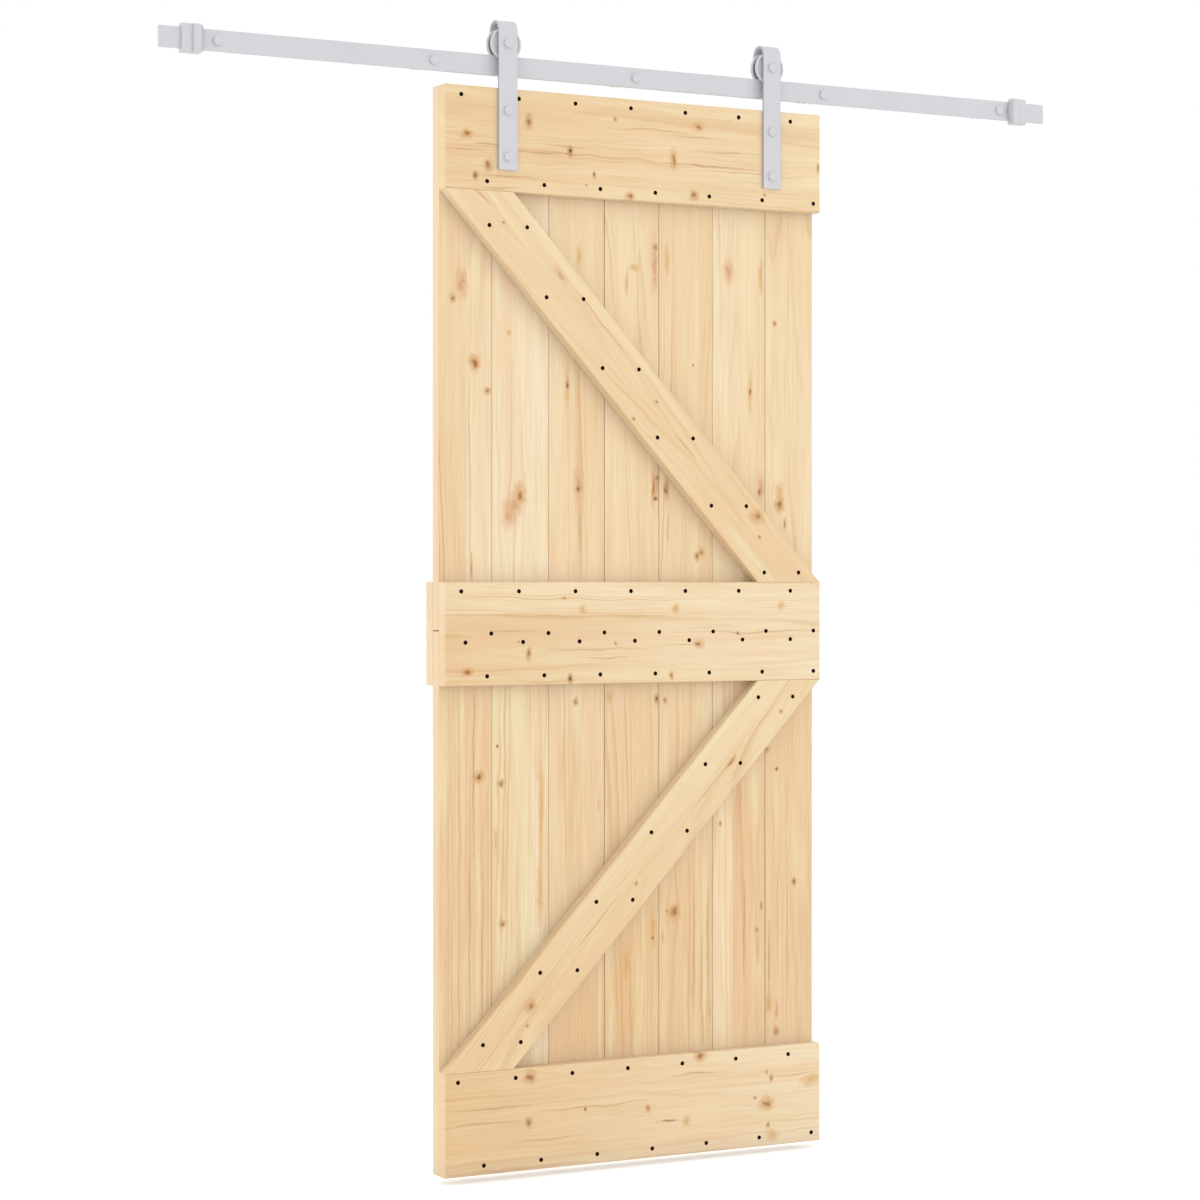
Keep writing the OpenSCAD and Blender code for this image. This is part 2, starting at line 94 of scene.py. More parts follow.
def share(name, description, default):
    """A setting for a share of something."""
    return bpy.props.FloatProperty(name=name, description=description, default=default, subtype="FACTOR")


def number(name, description, default):
    """A setting without a unit."""
    return bpy.props.FloatProperty(name=name, description=description, default=default)


def shaded(tint, factor):
    """A colour made darker or lighter by a factor."""
    return [c * factor for c in tint[:3]] + [1.0]


class PlankDoorPine(bpy.types.PropertyGroup):
    """Colours and grain of the sanded pine."""

    cream: colour("Cream", "Palest sapwood strips", "FAE8C6")
    straw: colour("Straw", "Pale yellow strips", "F7E0B8")
    wheat: colour("Wheat", "Usual sapwood", "F5DAB1")
    honey: colour("Honey", "Warmer strips", "F1D3A6")
    tan: colour("Tan", "Dark strips, near the heart", "ECC999")
    ochre: colour("Ochre", "Darkest strips, at the heart", "E6BC89")
    sage: colour("Sage", "Greenish cream bands in the sapwood", "F6E5BA")
    peach: colour("Peach", "Pinkish bands", "F3D0A6")
    late: colour("Latewood", "Dark side of each growth ring", "D9AC74")
    # A paler tone on faces turned to the sides: painted light on the planed edges, and the sawn ends' own
    # paler tone
    edge: colour("Edges", "Sawn ends and planed edges of the timbers", "FBE3C0")
    # Painted shade: grey laid over the wood in the corners where timbers meet
    painted_corner_shade: colour("Dust", "Grey film of dust where timbers meet", "CFC2AE")
    # Painted shade on the bevels between boards, darkening their joints
    seam: colour("Seam", "Brown shade on the bevels between boards", "8A6A42")
    # Share of that paler tone: painted light on planed edges, own tone on sawn ends
    end_tone_and_side_light_share: share("Edge cover", "How far the edges' tone covers the wood", 0.45)
    # Most that the painted corner shade covers the wood
    painted_corner_shade_share: share("Dust cover", "Most that the dust covers the wood", 0.45)
    glue_share: share("Glue cover", "How far the glue line covers the wood", 0.3)
    # How far the painted corner shade reaches from a corner
    painted_corner_shade_reach: length("Dust reach", "How far that dust reaches from a corner", 60)
    ring_spacing: length("Ring spacing", "Distance between growth rings, coarse enough to show", 6.5)
    ring_contrast: share("Ring contrast", "Most that a growth ring darkens the wood", 0.55)
    ring_warp: length("Ring warp", "How far the rings wander along a board", 12)
    pith_depth: length("Pith depth", "Distance of the pith behind the middle of a board", 70)
    fibre_width: length("Fibre width", "Width of the fine streaks, coarse enough to show", 3.2)
    fibre_length: length("Fibre length", "Length of the fine streaks", 150)
    wave_length: length("Wave length", "Length of the grain's waves", 100)
    wave_width: length("Wave width", "Distance across the grain after which its waves differ", 40)
    wave_height: length("Wave height", "How far the grain waves from side to side", 18)
    glue_line: length("Glue line", "Width of the line between two glued strips", 0.9)


class PlankDoorMetal(bpy.types.PropertyGroup):
    """Colours and surface of the track, hangers, screws and pads."""

    coat: colour("Powder coat", "Light grey powder coat on the steel", "D8D7DC")
    # A darker grey: painted shade on the straps' side faces, and the tone of the wheels' running grooves
    darkened: colour("Bare steel", "Sheared edges and the wheels' running grooves", "8E8E92")
    groove: length("Groove", "Width of the bare groove of a wheel", 10.5)
    coat_peel: length("Coat texture", "Grain of the powder coat, coarse enough to show", 1.4)
    zinc: colour("Zinc", "Zinc plate on washers and nuts", "C3C5C9")
    zinc_spangle: length("Zinc spangle", "Size of the zinc crystals", 3)
    black: colour("Phosphate", "Black phosphate on the wood screws", "190D05")
    rubber: colour("Rubber", "Light grey rubber of the stops' pads", "CBCACF")
    drive_r: length("Drive size", "Outer radius of a wood screw's star drive", 2.0)
    drive_waist: share("Drive waist", "Radius between the drive's lobes, as a share of its size", 0.72)
    drive_depth: length("Drive depth", "Depth of the star drive", 2.0)
    thread_pitch: length("Thread pitch", "Pitch of the lag screws' wood thread", 3.6)
    thread_height: length("Thread height", "Height of that thread over its core", 0.5)


class PlankDoorStage(bpy.types.PropertyGroup):
    """Camera, light and floor."""

    camera_place: bpy.props.FloatVectorProperty(
        name="Camera place", description="Where the camera stands", default=(-2.978, -5.397, -0.9955),
        subtype="XYZ", unit="LENGTH", size=3,
    )
    camera_turn: angle("Camera turn", "Turn of the level camera to the right of straight ahead", 28.578)
    focal_pixels: number("Focal length", "Focal length in pixels of the square frame", 3069.0)
    frame_pixels: number("Frame", "Side of the square frame in pixels", 1200.0)
    horizon_rise: number("Horizon", "Pixels of the horizon above the frame's middle", 20.8)
    floor_gap: length("Floor gap", "Gap between the door and the floor", 15)
    floor_size: length("Floor size", "Side of the floor", 30000)
    floor: colour("Floor", "Pale floor", "F4F4F4")
    floor_lift: number("Floor lift", "Light added to the floor where it is seen, to show it white", 0.4)
    sky_level: number("Sky", "Even light from all sides", 0.95)
    key_level: number("Key", "Strength of the soft light from the right", 0.35)
    key_turn: angle("Key turn", "Angle of the key light to the right of the door's front", 44)
    key_rise: angle("Key rise", "Angle of the key light above level", 5)
    key_softness: angle("Key softness", "Apparent size of the key light", 32)
    fill_level: number("Fill", "Strength of the broad light from the left", 0.5)
    fill_turn: angle("Fill turn", "Angle of the fill light to the left of the door's front", 112)
    fill_softness: angle("Fill softness", "Apparent size of the fill light", 60)


# Knots and streaks of each timber: the place from the door's lower left corner and the size along and across
# the grain, in millimetres, and the kind of mark
KNOTS = {
    "top_rail": (
        (46, 2007, 20, 15, "rust"), (180, 2040, 14, 22, "brown"), (271, 1987, 11, 18, "dark"),
        (93, 1951, 16, 24, "brown"), (90, 1957, 4, 6, "dark"), (64, 1926, 11, 14, "dark"),
        (372, 2058, 7, 9, "brown"), (325, 1945, 5, 14, "dark"), (307, 1923, 5, 5, "brown"),
        (406, 1908, 18, 15, "rust"), (552, 1917, 18, 20, "brown"), (562, 2055, 22, 15, "red"),
        (505, 1987, 14, 34, "red"), (655, 2077, 4, 9, "dark"), (718, 1930, 6, 6, "brown"),
        (846, 1990, 8, 18, "red"), (205, 1980, 120, 3, "line"), (135, 1929, 100, 3, "line"),
        (600, 1978, 220, 3, "line"), (35, 1977, 70, 4, "streak"), (95, 1990, 60, 3, "line"),
        (700, 1969, 180, 3, "streak"), (450, 2041, 160, 3, "streak"), (560, 2034, 90, 3, "streak"),
        (115, 1907, 80, 3, "streak"), (640, 2008, 140, 3, "streak"), (260, 1995, 90, 3, "streak"),
    ),
    "middle_rail": (
        (258, 1112, 5, 5, "brown"), (300, 1090, 14, 16, "amber"), (510, 1092, 14, 18, "amber"),
        (757, 1094, 14, 18, "amber"), (180, 1005, 10, 22, "brown"), (48, 972, 20, 14, "rust"),
        (271, 953, 9, 16, "dark"), (373, 1023, 6, 7, "brown"), (563, 1018, 20, 16, "red"),
        (655, 1042, 6, 6, "dark"), (500, 957, 10, 20, "red"), (158, 1028, 5, 4, "brown"),
        (700, 1042, 280, 3, "streak"), (330, 1012, 180, 3, "streak"), (230, 950, 120, 3, "streak"),
        (140, 1048, 90, 3, "streak"), (530, 1017, 60, 3, "streak"), (360, 996, 90, 3, "streak"),
    ),
    "bottom_rail": (
        (183, 180, 24, 22, "red"), (181, 96, 13, 15, "brown"), (305, 108, 5, 9, "dark"),
        (447, 97, 10, 15, "red"), (567, 194, 24, 22, "red"), (493, 72, 40, 5, "brown"),
        (535, 68, 14, 22, "amber"), (722, 86, 30, 26, "red"), (695, 98, 7, 7, "brown"),
        (723, 151, 5, 9, "brown"), (734, 139, 8, 14, "brown"), (726, 40, 8, 12, "brown"),
        (735, 20, 26, 18, "amber"), (830, 125, 40, 18, "amber"), (100, 128, 160, 4, "streak"),
        (560, 160, 90, 3, "streak"), (120, 4, 230, 5, "streak"), (330, 113, 200, 3, "streak"),
        (80, 98, 150, 3, "streak"), (230, 58, 120, 3, "streak"), (790, 140, 90, 3, "streak"),
    ),
    "back_rail": (
        (140, 1010, 16, 12, "red"), (330, 1088, 10, 14, "brown"), (545, 990, 18, 13, "red"),
        (700, 1062, 9, 12, "dark"), (420, 1030, 200, 3, "streak"),
    ),
    "upper_brace": (
        (126, 1840, 7, 7, "brown"), (250, 1744, 34, 12, "pink"), (466, 1503, 8, 7, "brown"),
        (415, 1468, 9, 7, "brown"), (700, 1276, 28, 24, "red"), (706, 1235, 9, 7, "brown"),
        (345, 1650, 170, 3, "streak"), (530, 1415, 60, 3, "streak"),
    ),
    "lower_brace": (
        (184, 320, 26, 20, "red"), (176, 282, 7, 6, "brown"), (420, 546, 9, 7, "brown"),
        (638, 781, 30, 10, "red"), (757, 880, 9, 8, "red"), (595, 738, 120, 3, "streak"),
        (330, 470, 120, 3, "streak"),
    ),
    "upper_board_1": (
        (28, 1692, 18, 12, "brown"), (48, 1722, 50, 24, "pink"), (77, 1568, 26, 20, "rust"),
        (105, 1515, 14, 15, "brown"), (70, 1170, 50, 4, "red"), (66, 1350, 380, 3, "streak"),
    ),
    "upper_board_2": (
        (152, 1274, 44, 26, "pink"), (164, 1294, 44, 26, "pink"), (177, 1314, 36, 22, "red"),
        (150, 1630, 10, 8, "amber"),
    ),
    "upper_board_3": (
        (280, 1531, 60, 8, "amber"), (280, 1531, 12, 6, "dark"), (305, 1335, 64, 18, "pink"),
        (303, 1328, 10, 5, "dark"), (306, 1785, 40, 12, "amber"), (307, 1250, 80, 4, "streak"),
    ),
    "upper_board_4": (
        (480, 1340, 75, 18, "pink"), (473, 1334, 56, 6, "rust"), (487, 1345, 66, 6, "rust"),
        (478, 1310, 8, 10, "dark"), (483, 1352, 10, 8, "dark"), (477, 1780, 95, 15, "pink"),
        (479, 1813, 14, 12, "red"), (430, 1770, 12, 20, "amber"), (414, 1740, 40, 6, "amber"),
    ),
    "upper_board_5": (
        (506, 1330, 50, 10, "red"), (503, 1328, 14, 6, "dark"), (505, 1790, 50, 10, "amber"),
        (575, 1196, 16, 12, "red"), (586, 1203, 18, 14, "red"), (568, 1580, 6, 5, "brown"),
        (508, 1250, 60, 4, "streak"),
    ),
    "upper_board_6": (
        (650, 1772, 40, 20, "pink"), (702, 1530, 70, 8, "amber"), (702, 1531, 12, 6, "dark"),
        (725, 1335, 64, 16, "pink"), (722, 1328, 12, 6, "dark"), (726, 1770, 60, 10, "amber"),
    ),
    "upper_board_7": (
        (772, 1330, 26, 18, "amber"), (772, 1301, 28, 18, "rust"), (758, 1672, 10, 10, "brown"),
        (785, 1262, 22, 5, "brown"),
    ),
    "lower_board_1": (
        (86, 766, 20, 22, "rust"), (66, 470, 420, 3, "line"), (74, 800, 300, 3, "line"),
        (92, 420, 400, 3, "streak"),
    ),
    "lower_board_2": (
        (126, 825, 6, 6, "dark"), (135, 752, 15, 13, "brown"), (137, 478, 14, 13, "brown"),
        (122, 640, 40, 5, "amber"), (222, 700, 160, 10, "amber"), (220, 540, 120, 10, "amber"),
    ),
    "lower_board_3": (
        (300, 908, 16, 11, "brown"), (350, 705, 24, 3, "streak"),
    ),
    "lower_board_4": (
        (373, 917, 18, 16, "amber"), (482, 910, 18, 9, "dark"), (413, 385, 70, 13, "amber"),
        (474, 455, 75, 14, "amber"), (474, 433, 7, 5, "dark"), (366, 578, 9, 6, "brown"),
    ),
    "lower_board_5": (
        (500, 908, 12, 9, "brown"), (521, 482, 30, 22, "red"), (507, 484, 6, 5, "brown"),
        (497, 433, 20, 6, "amber"), (605, 280, 70, 4, "pink"), (590, 245, 90, 4, "streak"),
        (568, 420, 260, 3, "line"), (586, 330, 200, 3, "line"), (601, 410, 220, 3, "line"),
    ),
    "lower_board_6": (
        (630, 655, 11, 6, "brown"), (728, 485, 16, 5, "brown"), (719, 435, 12, 8, "red"),
        (720, 400, 50, 8, "amber"), (687, 430, 180, 3, "line"),
    ),
    "lower_board_7": (
        (742, 802, 12, 14, "red"), (764, 762, 8, 6, "dark"), (806, 529, 16, 10, "rust"),
        (764, 226, 18, 14, "rust"), (745, 285, 40, 14, "amber"), (765, 270, 40, 8, "pink"),
        (746, 375, 150, 4, "line"), (766, 430, 200, 3, "streak"), (790, 400, 240, 3, "streak"),
    ),
}

# Where a mark's body and core start and end to fade, in radii of the mark
BODY_FADE = (0.5, 1.8)
CORE_FADE = (0.15, 0.75)

# Colours of a mark's body and core, and how far each covers the wood
KNOT_KINDS = {
    "red": ("DDAD78", 0.8, "9C683A", 0.75),
    "rust": ("DAA269", 0.85, "955A2B", 0.85),
    "pink": ("E6B98F", 0.75, "C48F64", 0.5),
    "brown": ("CFA268", 0.75, "926537", 0.75),
    "dark": ("B88A58", 0.8, "553417", 0.95),
    "amber": ("E3BA82", 0.75, "D8AA70", 0.5),
    "streak": ("C39460", 0.36, "B2824D", 0.22),
    "line": ("B98A55", 0.45, "A5763F", 0.25),
}

# Marks that lie in the grain and don't bend it
STAINS = ("amber", "streak", "line")

# How far about a knot the grain bends, as a factor of its size and a margin in millimetres, and by what share
BEND_ALONG, BEND_ALONG_MARGIN = 2.2, 6
BEND_ACROSS, BEND_ACROSS_MARGIN = 1.2, 3
BEND_SHARE = 0.7

# Boards whose bevels carry painted shade, a brown that makes their joints look opened, and how far it covers
# the bevels
JOINT_SHADES = {
    "upper_board_4": 0.5, "upper_board_7": 0.2,
    "lower_board_4": 0.5, "lower_board_6": 0.2, "lower_board_7": 0.2,
}

# Each timber is glued from two strips: where they meet on the door, in millimetres, and each strip's tones
# at its left or bottom end and at its right or top end
STRIPS = {
    "top_rail": (1925, ("honey", "straw"), ("tan", "straw")),
    "middle_rail": (1082, ("tan", "cream"), ("straw", "cream")),
    "bottom_rail": (128, ("tan", "cream"), ("tan", "cream")),
    "back_rail": (1070, ("wheat", "honey"), ("honey", "wheat")),
    "upper_brace": (None, ("wheat", "honey"), ("straw", "honey")),
    "lower_brace": (None, ("honey", "wheat"), ("honey", "straw")),
    "upper_board_1": (58, ("honey", "wheat"), ("cream", "straw")),
    "upper_board_2": (200, ("cream", "cream"), ("cream", "cream")),
    "upper_board_3": (283, ("wheat", "straw"), ("wheat", "wheat")),
    "upper_board_4": (440, ("straw", "straw"), ("wheat", "wheat")),
    "upper_board_5": (582, ("wheat", "wheat"), ("honey", "wheat")),
    "upper_board_6": (650, ("straw", "cream"), ("straw", "straw")),
    "upper_board_7": (790, ("straw", "straw"), ("straw", "straw")),
    "lower_board_1": (58, ("honey", "honey"), ("tan", "peach")),
    "lower_board_2": (200, ("sage", "sage"), ("cream", "cream")),
    "lower_board_3": (283, ("ochre", "cream"), ("ochre", "straw")),
    "lower_board_4": (425, ("ochre", "wheat"), ("tan", "honey")),
    "lower_board_5": (582, ("tan", "wheat"), ("tan", "wheat")),
    "lower_board_6": (660, ("straw", "cream"), ("tan", "peach")),
    "lower_board_7": (790, ("honey", "honey"), ("honey", "honey")),
}

# How much the grain waves in each kind of timber, and how much stronger the lower boards' figure is
BOARD_WAVES = 0.5
RAIL_WAVES = 1.0
BRACE_WAVES = 0.6
LOWER_FIGURE = 1.45

# First seeds of the rails and braces; the boards count from 1
RAIL_SEED = 40
BRACE_SEED = 60

# Level length of a brace's sawn end
BRACE_CUT = 148 * MM

# A wood screw's point, and its shank, its drive's foot and its tip as shares of what they taper from
SCREW_POINT = 6 * MM
SHANK_SHARE = 4.5 / 8.6
DRIVE_FOOT_SHARE = 0.8
TIP_SHARE = 0.05

# Core radius of a lag screw, and the share of its length in the wall that is threaded
LAG_CORE_R = 4.5 * MM
LAG_THREADED = 2 / 3


def add(tree, kind, inputs=None, **fields):
    """Adds a node, sets its fields, and sets or links its sockets."""
    node = tree.nodes.new(kind)
    for field, value in fields.items():
        setattr(node, field, value)
    for socket, value in (inputs or {}).items():
        if isinstance(value, bpy.types.NodeSocket):
            tree.links.new(value, node.inputs[socket])
        else:
            node.inputs[socket].default_value = value
    return node


def new_material(name):
    """An empty node material and its tree."""
    material = bpy.data.materials.new(name)
    material.use_nodes = True
    material.node_tree.nodes.clear()
    return material, material.node_tree


def on_door(x, z):
    """A place on the door's front, from millimetres off its lower left corner."""
    return DOOR_CORNER + Vector((x * MM, 0, z * MM))


class Grain:
    """How a timber's grain runs: its middle, its turn about Y away from X, and how much it waves."""

    def __init__(self, node, turn, waves):
        low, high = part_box(node)
        self.middle = (low + high) / 2
        self.turn = turn
        self.waves = waves
        self.half_length = max(high - low) / 2

    def place(self, point):
        """A point's distances along and across the grain from the timber's middle."""
        off = Matrix.Rotation(-self.turn, 3, "Y") @ (point - self.middle)
        return off.x, off.z


def pine(node, grain, settings, seed, lively=1.0):
    """Sanded pine: growth rings cut through as arches and lines, and knots that push them aside."""
    draw = random.Random(seed)
    material, tree = new_material("pine_" + node)
    place = add(tree, "ShaderNodeTexCoord")
    local = add(
        tree, "ShaderNodeMapping",
        {"Vector": place.outputs["Object"], "Location": grain.middle, "Rotation": (0, grain.turn, 0)},
        vector_type="TEXTURE",
    ).outputs[0]
    parts = add(tree, "ShaderNodeSeparateXYZ", {0: local}).outputs
    across = parts["Z"]

    # Two glued strips from different trees, each a little darker towards one end
    meet, *strips = STRIPS[node]
    level = grain.turn == 0
    split = 0.0
    if meet is not None:
        split = grain.place(on_door(0, meet) if level else on_door(meet, 0))[1]
    if meet is not None and not level:
        strips.reverse()
    second = add(tree, "ShaderNodeMath", {0: across, 1: split}, operation="GREATER_THAN").outputs[0]
    toward_end = add(
        tree, "ShaderNodeMapRange",
        {"Value": parts["X"], "From Min": -grain.half_length, "From Max": grain.half_length},
    ).outputs[0]
    ends = [
        add(
            tree, "ShaderNodeMix",
            {0: toward_end, 6: getattr(settings, low), 7: getattr(settings, high)},
            data_type="RGBA",
        ).outputs[2]
        for low, high in strips
    ]
    tone = add(tree, "ShaderNodeMix", {0: second, 6: ends[0], 7: ends[1]}, data_type="RGBA").outputs[2]

    # The grain waves a little from side to side along the timber; a random shift gives each its own figure
    shift = [draw.uniform(-40, 40) for _ in range(3)]
    across_waves = 1 / settings.wave_width
    wave = add(
        tree, "ShaderNodeVectorMath",
        {0: local, 1: (1 / settings.wave_length, across_waves, across_waves), 2: shift},
        operation="MULTIPLY_ADD",
    ).outputs[0]
    wave = add(
        tree, "ShaderNodeTexNoise", {"Vector": wave, "Scale": 1.0, "Detail": 2.0},
    ).outputs["Color"]
    height = settings.wave_height * grain.waves
    wave = add(
        tree, "ShaderNodeVectorMath", {0: wave, 1: (0, 0, height), 2: (0, 0, -height / 2)},
        operation="MULTIPLY_ADD",
    ).outputs[0]
    waved = add(tree, "ShaderNodeVectorMath", {0: local, 1: wave}, operation="ADD").outputs[0]

    # Distance to each knot, in knot radii with an outline that is uneven every 14 mm, and the bend about it
    bumps_per_metre = 70.0
    uneven = Vector((1.8, 0, 1.4))
    ragged = add(
        tree, "ShaderNodeTexNoise", {"Vector": local, "Scale": bumps_per_metre, "Detail": 3.0},
    ).outputs["Color"]
    ragged = add(
        tree, "ShaderNodeVectorMath", {0: ragged, 1: uneven, 2: -uneven / 2}, operation="MULTIPLY_ADD",
    ).outputs[0]
    bent = waved
    reaches = []
    for x, z, size_along, size_across, kind in KNOTS[node]:
        knot_along, knot_across = grain.place(on_door(x, z))
        off = add(
            tree, "ShaderNodeVectorMath", {0: waved, 1: (knot_along, 0, knot_across)},
            operation="SUBTRACT",
        ).outputs[0]
        scale = (2 / (size_along * MM), 0, 2 / (size_across * MM))
        outline = add(
            tree, "ShaderNodeVectorMath", {0: off, 1: scale, 2: ragged}, operation="MULTIPLY_ADD",
        ).outputs[0]
        reach = add(tree, "ShaderNodeVectorMath", {0: outline}, operation="LENGTH").outputs["Value"]
        reaches.append((reach, kind))
        if kind in STAINS:
            continue
        bend_along = (BEND_ALONG * max(size_along, size_across) + BEND_ALONG_MARGIN) * MM
        bend_across = (BEND_ACROSS * size_across + BEND_ACROSS_MARGIN) * MM
        bend = add(
            tree, "ShaderNodeVectorMath", {0: off, 1: (1 / bend_along, 0, 1 / bend_across)},
            operation="MULTIPLY",
        ).outputs[0]
        bend = add(tree, "ShaderNodeVectorMath", {0: bend}, operation="LENGTH").outputs["Value"]
        bend = add(
            tree, "ShaderNodeMapRange", {"Value": bend, "To Min": -BEND_SHARE, "To Max": 0.0},
            interpolation_type="SMOOTHERSTEP",
        ).outputs[0]
        push = add(tree, "ShaderNodeVectorMath", {0: off, 3: bend}, operation="SCALE").outputs[0]
        bent = add(
            tree, "ShaderNodeVectorMath", {0: push, 1: (0, 0, 1), 2: bent}, operation="MULTIPLY_ADD",
        ).outputs[0]

    # Rings about a pith behind the board, a little out of line with it; they wander every 500 mm along the
    # timber and every 55 mm across it, and the second strip comes from another place in the tree
    wanders_per_metre = (2, 18, 18)
    wander = add(
        tree, "ShaderNodeVectorMath", {0: bent, 1: wanders_per_metre, 2: shift}, operation="MULTIPLY_ADD",
    ).outputs[0]
    wander = add(
        tree, "ShaderNodeTexNoise", {"Vector": wander, "Scale": 1.0, "Detail": 3.0, "Roughness": 0.45},
    ).outputs["Color"]
    strip_shift = add(
        tree, "ShaderNodeVectorMath",
        {0: second, 1: (0.4, draw.uniform(-0.02, 0.03), draw.choice((-0.09, 0.09))), 2: bent},
        operation="MULTIPLY_ADD",
    ).outputs[0]
    pith = add(
        tree, "ShaderNodeMapping",
        {
            "Vector": strip_shift,
            "Location": (0, settings.pith_depth * draw.uniform(0.7, 1.8), draw.uniform(-0.05, 0.05)),
            "Rotation": (0, draw.uniform(-0.02, 0.02), draw.uniform(-0.05, 0.05)),
        },
        vector_type="TEXTURE",
    ).outputs[0]
    warp = settings.ring_warp
    pith = add(
        tree, "ShaderNodeVectorMath", {0: wander, 1: (0, warp, warp), 2: pith}, operation="MULTIPLY_ADD",
    ).outputs[0]
    pith = add(tree, "ShaderNodeVectorMath", {0: pith, 1: (0, 1, 1)}, operation="MULTIPLY").outputs[0]
    radius = add(tree, "ShaderNodeVectorMath", {0: pith}, operation="LENGTH").outputs["Value"]

    # Noises stretched along the grain, each with three values of its own
    noises = {}
    for name, along, wide in (
        ("band", 1500 * MM, 15 * MM),
        ("cloud", 300 * MM, 40 * MM),
        ("figure", 600 * MM, 50 * MM),
        ("fibre", settings.fibre_length, settings.fibre_width),
    ):
        stretched = add(
            tree, "ShaderNodeVectorMath", {0: bent, 1: (1 / along, 1 / wide, 1 / wide), 2: shift},
            operation="MULTIPLY_ADD",
        ).outputs[0]
        noise = add(
            tree, "ShaderNodeTexNoise", {"Vector": stretched, "Scale": 1.0, "Detail": 3.0},
        ).outputs["Color"]
        noises[name] = add(tree, "ShaderNodeSeparateXYZ", {0: noise}).outputs

    # Growth rings: pale early wood that darkens slowly and ends sharply, stronger in some years and places
    count = add(
        tree, "ShaderNodeMath", {0: radius, 1: settings.ring_spacing}, operation="DIVIDE",
    ).outputs[0]
    phase = add(tree, "ShaderNodeMath", {0: count}, operation="FRACT").outputs[0]
    rise = add(
        tree, "ShaderNodeMapRange",
        {"Value": phase, "From Min": 0.25, "From Max": 0.85},
        interpolation_type="SMOOTHSTEP",
    ).outputs[0]
    fall = add(
        tree, "ShaderNodeMapRange",
        {"Value": phase, "From Min": 0.88, "From Max": 1.0, "To Min": 1.0, "To Max": 0.0},
    ).outputs[0]
    late = add(tree, "ShaderNodeMath", {0: rise, 1: fall}, operation="MULTIPLY").outputs[0]
    season = add(
        tree, "ShaderNodeTexNoise", {"W": count, "Scale": 0.45, "Detail": 2.0}, noise_dimensions="1D",
    ).outputs[0]
    season = add(
        tree, "ShaderNodeMapRange",
        {"Value": season, "From Min": 0.44, "From Max": 0.74, "To Max": settings.ring_contrast * lively},
    ).outputs[0]
    late = add(tree, "ShaderNodeMath", {0: late, 1: season}, operation="MULTIPLY").outputs[0]
    strength = add(
        tree, "ShaderNodeMapRange",
        {"Value": noises["figure"]["X"], "From Min": 0.4, "From Max": 0.65, "To Min": 0.1, "To Max": 1.8},
    ).outputs[0]
    late = add(tree, "ShaderNodeMath", {0: late, 1: strength}, operation="MULTIPLY").outputs[0]

    # Layers over the strips' tone, each a cover and a tint: first bands and patches of sage and peach, clouds
    # of warmer wood, fine streaks along the fibres, and the rings
    layers = []
    for noise, channel, low, high, most, tint in (
        ("band", "X", 0.52, 0.78, 0.7, settings.sage),
        ("band", "X", 0.48, 0.25, 0.6, settings.peach),
        ("cloud", "X", 0.45, 0.75, 0.5, settings.tan),
        ("cloud", "Y", 0.52, 0.75, 0.7, settings.sage),
        ("figure", "Y", 0.52, 0.75, 0.7, settings.peach),
        ("fibre", "X", 0.45, 0.75, 0.28, settings.late),
    ):
        cover = add(
            tree, "ShaderNodeMapRange",
            {"Value": noises[noise][channel], "From Min": low, "From Max": high, "To Max": most * lively},
        ).outputs[0]
        layers.append((cover, tint))
    layers.append((late, settings.late))

    # Glue line between the strips
    off_split = add(tree, "ShaderNodeMath", {0: across, 1: split}, operation="SUBTRACT").outputs[0]
    off_split = add(tree, "ShaderNodeMath", {0: off_split}, operation="ABSOLUTE").outputs[0]
    glue = add(
        tree, "ShaderNodeMapRange",
        {"Value": off_split, "From Max": settings.glue_line, "To Min": settings.glue_share, "To Max": 0.0},
    ).outputs[0]
    layers.append((glue, settings.late))

    # Knots over the rings
    for reach, kind in reaches:
        body, body_share, core, core_share = KNOT_KINDS[kind]
        for fade, most, tint in ((BODY_FADE, body_share, body), (CORE_FADE, core_share, core)):
            cover = add(
                tree, "ShaderNodeMapRange",
                {"Value": reach, "From Min": fade[0], "From Max": fade[1], "To Min": most, "To Max": 0.0},
                interpolation_type="SMOOTHSTEP",
            ).outputs[0]
            layers.append((cover, linear(tint)))

    # Paler tone on the faces turned to the door's sides: painted light on the planed edges, and on the sawn
    # ends also their own paler tone
    facing = add(tree, "ShaderNodeSeparateXYZ", {0: place.outputs["Normal"]}).outputs
    sideways = add(tree, "ShaderNodeMath", {0: facing["X"]}, operation="ABSOLUTE").outputs[0]
    edge = add(
        tree, "ShaderNodeMapRange",
        {"Value": sideways, "From Min": 0.85, "From Max": 0.95, "To Max": settings.end_tone_and_side_light_share},
    ).outputs[0]
    layers.append((edge, settings.edge))

    # Painted shade: a grey film laid over the wood in the corners where timbers meet, where shade falls
    corner = add(
        tree, "ShaderNodeAmbientOcclusion", {"Distance": settings.painted_corner_shade_reach}, samples=8,
    ).outputs["AO"]
    painted_corner_shade = add(
        tree, "ShaderNodeMapRange",
        {"Value": corner, "From Min": 0.5, "From Max": 1.0, "To Min": settings.painted_corner_shade_share, "To Max": 0.0},
    ).outputs[0]
    layers.append((painted_corner_shade, settings.painted_corner_shade))

